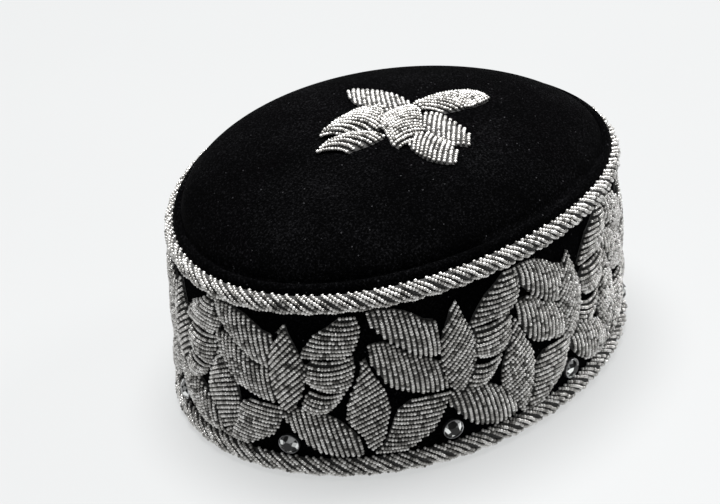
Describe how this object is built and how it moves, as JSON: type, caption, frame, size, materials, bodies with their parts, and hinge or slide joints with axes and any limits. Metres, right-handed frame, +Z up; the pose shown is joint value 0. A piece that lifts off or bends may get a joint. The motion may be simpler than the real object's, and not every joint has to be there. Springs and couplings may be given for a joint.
{
  "type": "tubeteika skullcap",
  "caption": "Oval upright skullcap of black velvet with padded leaves of silver seed beads, beaded ropes round top and hem, and small crystals.",
  "frame": {"origin": "centre of the cap's footprint, on the surface that its hem stands on", "axes": "+X along the oval's long side, +Y across it, +Z up towards the crown"},
  "size_m": [0.215, 0.168, 0.1199],
  "materials": {
    "velvet": "black velvet with a soft nap",
    "beads": "silver-lined glass seed beads",
    "crystal": "foil-backed cut crystal in a silver rim"
  },
  "bodies": {
    "root": {"band": "velvet", "crown": "velvet", "top_rope": "beads", "bottom_rope": "beads", "crown_motif": "beads", "spray_1": "beads", "spray_2": "beads", "spray_3": "beads", "spray_4": "beads", "spray_5": "beads", "spray_6": "beads", "spray_7": "beads", "spray_8": "beads", "spray_9": "beads", "upper_left_leaf_1": "beads", "upper_left_leaf_2": "beads", "upper_left_leaf_3": "beads", "upper_left_leaf_4": "beads", "upper_left_leaf_5": "beads", "upper_left_leaf_6": "beads", "upper_left_leaf_7": "beads", "upper_left_leaf_8": "beads", "upper_left_leaf_9": "beads", "upper_right_leaf_1": "beads", "upper_right_leaf_2": "beads", "upper_right_leaf_3": "beads", "upper_right_leaf_4": "beads", "upper_right_leaf_5": "beads", "upper_right_leaf_6": "beads", "upper_right_leaf_7": "beads", "upper_right_leaf_8": "beads", "upper_right_leaf_9": "beads", "side_leaf_1": "beads", "side_leaf_2": "beads", "side_leaf_3": "beads", "side_leaf_4": "beads", "side_leaf_5": "beads", "side_leaf_6": "beads", "side_leaf_7": "beads", "side_leaf_8": "beads", "side_leaf_9": "beads", "stone_1": "crystal", "stone_2": "crystal", "stone_3": "crystal", "stone_4": "crystal", "stone_5": "crystal", "stone_6": "crystal", "stone_7": "crystal", "stone_8": "crystal", "stone_9": "crystal"}
  },
  "joints": []
}
